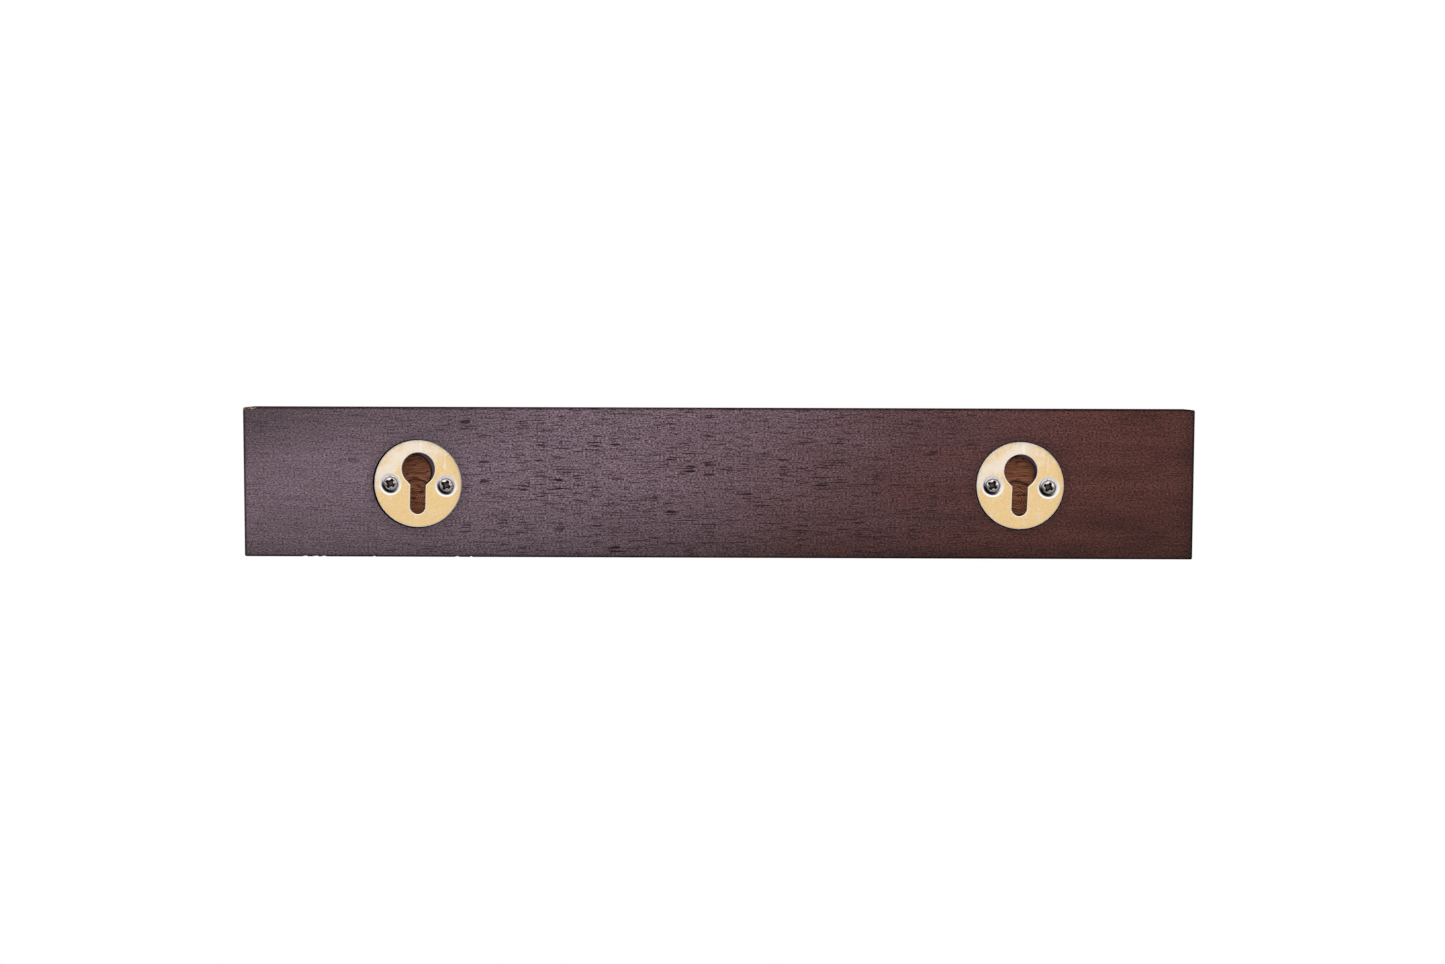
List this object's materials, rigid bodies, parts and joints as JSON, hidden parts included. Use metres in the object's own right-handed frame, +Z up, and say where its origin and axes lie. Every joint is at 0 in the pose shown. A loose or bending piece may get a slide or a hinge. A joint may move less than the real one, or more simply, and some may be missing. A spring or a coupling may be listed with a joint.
{
  "type": "wall shelf with brackets",
  "caption": "Small dark wooden wall shelf: a board on a back rail with curved brackets under it, hung by round keyhole plates let into the rail's rear face.",
  "frame": {"origin": "centre of the back rail's rear face, which lies against the wall", "axes": "+X along the shelf, +Y into the wall, +Z up as the shelf hangs"},
  "size_m": [0.381, 0.114, 0.06],
  "materials": {
    "stained_wood": "dark espresso stain, satin",
    "dowel_wood": "bare beech",
    "yellow_zinc": "yellow passivated zinc plate",
    "screw_steel": "bright nickel plate"
  },
  "bodies": {
    "root": {"back_rail": "stained_wood", "shelf_board": "stained_wood", "bracket_left": "stained_wood", "keyhole_plate_left": "yellow_zinc", "plate_screw_left_left": "screw_steel", "plate_screw_left_right": "screw_steel", "rail_dowel_left": "dowel_wood", "bracket_dowel_rear_left": "dowel_wood", "bracket_dowel_front_left": "dowel_wood", "bracket_right": "stained_wood", "keyhole_plate_right": "yellow_zinc", "plate_screw_right_left": "screw_steel", "plate_screw_right_right": "screw_steel", "rail_dowel_right": "dowel_wood", "bracket_dowel_rear_right": "dowel_wood", "bracket_dowel_front_right": "dowel_wood", "board_dowel_1": "dowel_wood", "board_dowel_2": "dowel_wood", "board_dowel_3": "dowel_wood", "board_dowel_4": "dowel_wood"}
  },
  "joints": []
}
